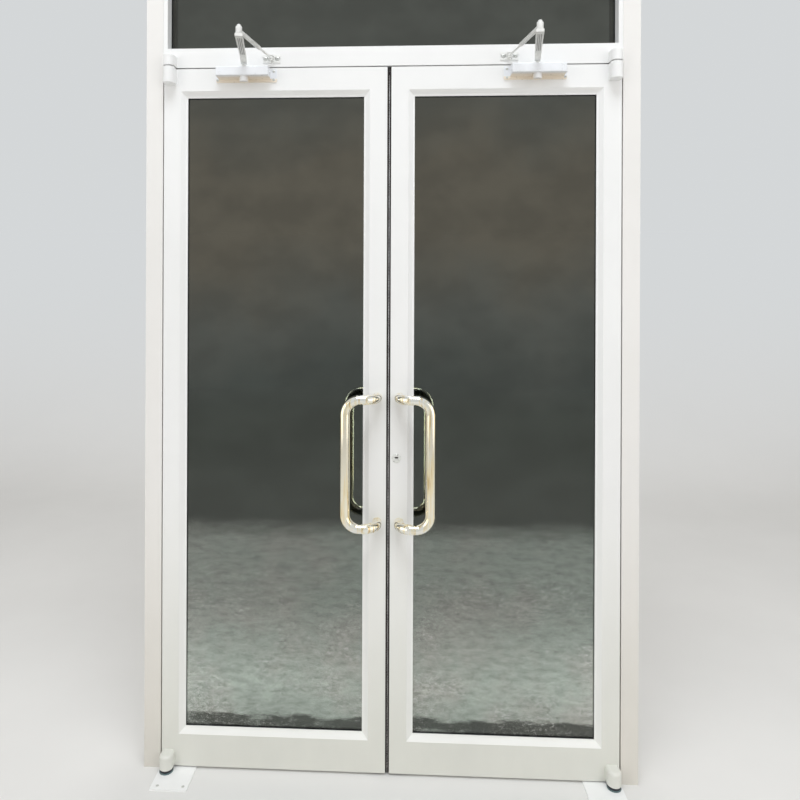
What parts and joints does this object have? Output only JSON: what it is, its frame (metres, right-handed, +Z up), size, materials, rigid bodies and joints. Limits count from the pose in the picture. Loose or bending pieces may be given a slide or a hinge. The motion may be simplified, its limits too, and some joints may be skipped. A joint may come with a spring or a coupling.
{
  "type": "glass door",
  "caption": "Glazed double swing door in a white aluminium frame with a fixed light above, tubular pull handles, surface closers and offset pivots.",
  "frame": {"origin": "on the floor line, midway between the jambs, in the plane of the frame's and the closed leaves' front faces", "axes": "+X to the right along the wall as seen from the pull side, +Y into the doorway away from the pull side, +Z up"},
  "size_m": [1.6, 0.3825, 2.75],
  "materials": {
    "white_aluminium": "satin powder coat",
    "closer_paint": "silver-white paint",
    "pane": "clear float glass",
    "black_rubber": "matt",
    "grey_pile": "brushed pile",
    "zinc_steel": "zinc plated",
    "polished_steel": "polished",
    "dark_bearing": "matt",
    "lock_metal": "nickel plated"
  },
  "bodies": {
    "frame": {"left_jamb": "white_aluminium", "right_jamb": "white_aluminium", "transom_bar": "white_aluminium", "head_rail": "white_aluminium", "stop_seals": "black_rubber", "transom_glass": "pane", "transom_beads": "white_aluminium", "transom_gaskets": "black_rubber", "left_top_pivot_bracket": "white_aluminium", "right_top_pivot_bracket": "white_aluminium", "left_floor_pivot": "zinc_steel", "right_floor_pivot": "zinc_steel", "pivot_bearings": "dark_bearing", "left_closer_foot": "zinc_steel", "right_closer_foot": "zinc_steel", "closer_foot_screws": "zinc_steel"},
    "left_leaf": {"left_hinge_stile": "white_aluminium", "left_meeting_stile": "white_aluminium", "left_top_rail": "white_aluminium", "left_bottom_rail": "white_aluminium", "left_glass": "pane", "left_glazing_beads": "white_aluminium", "left_glass_gaskets": "black_rubber", "left_pile_seals": "grey_pile", "left_top_pivot_block": "white_aluminium", "left_bottom_pivot_block": "white_aluminium", "left_closer_body": "closer_paint", "left_closer_screws": "zinc_steel", "left_front_handle": "polished_steel", "left_rear_handle": "polished_steel", "left_handle_studs": "zinc_steel", "strike_plate": "zinc_steel"},
    "right_leaf": {"right_hinge_stile": "white_aluminium", "right_meeting_stile": "white_aluminium", "right_top_rail": "white_aluminium", "right_bottom_rail": "white_aluminium", "right_glass": "pane", "right_glazing_beads": "white_aluminium", "right_glass_gaskets": "black_rubber", "right_pile_seals": "grey_pile", "right_top_pivot_block": "white_aluminium", "right_bottom_pivot_block": "white_aluminium", "right_closer_body": "closer_paint", "right_closer_screws": "zinc_steel", "right_front_handle": "polished_steel", "right_rear_handle": "polished_steel", "right_handle_studs": "zinc_steel", "lock_case": "zinc_steel", "lock_cylinders": "lock_metal"},
    "left_main_arm": {"left_main_arm": "zinc_steel", "left_closer_spindle": "zinc_steel"},
    "left_forearm": {"left_forearm_tube": "zinc_steel", "left_forearm_rod": "zinc_steel"},
    "right_main_arm": {"right_main_arm": "zinc_steel", "right_closer_spindle": "zinc_steel"},
    "right_forearm": {"right_forearm_tube": "zinc_steel", "right_forearm_rod": "zinc_steel"},
    "lock_core": {"lock_plug": "lock_metal"},
    "lock_bolt": {"hook_bolt": "zinc_steel"}
  },
  "joints": [
    {"name": "left_leaf_swing", "type": "hinge", "parent": "frame", "child": "left_leaf", "pos_m": [-0.718, -0.02, 0], "axis": [0, 0, -1], "range_deg": [0, 90], "stiffness_Nm_per_rad": 6, "springref_deg": -114.59},
    {"name": "left_arm_turn", "type": "hinge", "parent": "left_leaf", "child": "left_main_arm", "pos_m": [-0.469, -0.03, 2.3], "axis": [0, 0, -1], "range_deg": [-189, 0]},
    {"name": "left_forearm_turn", "type": "hinge", "parent": "frame", "child": "left_forearm", "pos_m": [-0.385, -0.012, 2.326], "axis": [0, 0, -1], "range_deg": [0, 24.5]},
    {"name": "right_leaf_swing", "type": "hinge", "parent": "frame", "child": "right_leaf", "pos_m": [0.718, -0.02, 0], "axis": [0, 0, 1], "range_deg": [0, 90], "stiffness_Nm_per_rad": 6, "springref_deg": -114.59},
    {"name": "right_arm_turn", "type": "hinge", "parent": "right_leaf", "child": "right_main_arm", "pos_m": [0.469, -0.03, 2.3], "axis": [0, 0, 1], "range_deg": [-189, 0]},
    {"name": "right_forearm_turn", "type": "hinge", "parent": "frame", "child": "right_forearm", "pos_m": [0.385, -0.012, 2.326], "axis": [0, 0, 1], "range_deg": [0, 24.5]},
    {"name": "key_turn", "type": "hinge", "parent": "right_leaf", "child": "lock_core", "pos_m": [0.027, 0.023, 1.029], "axis": [0, 1, 0], "range_deg": [0, 360]},
    {"name": "bolt_throw", "type": "hinge", "parent": "right_leaf", "child": "lock_bolt", "pos_m": [0.0255, 0.023, 0.957], "axis": [0, -1, 0], "range_deg": [0, 90]}
  ],
  "couplings": [
    {"joint": "left_arm_turn", "follows": "left_leaf_swing", "ratio": -2.0965},
    {"joint": "left_forearm_turn", "follows": "left_leaf_swing", "ratio": 0.2708},
    {"joint": "right_arm_turn", "follows": "right_leaf_swing", "ratio": -2.0965},
    {"joint": "right_forearm_turn", "follows": "right_leaf_swing", "ratio": 0.2708},
    {"joint": "bolt_throw", "follows": "key_turn", "ratio": 0.25}
  ]
}
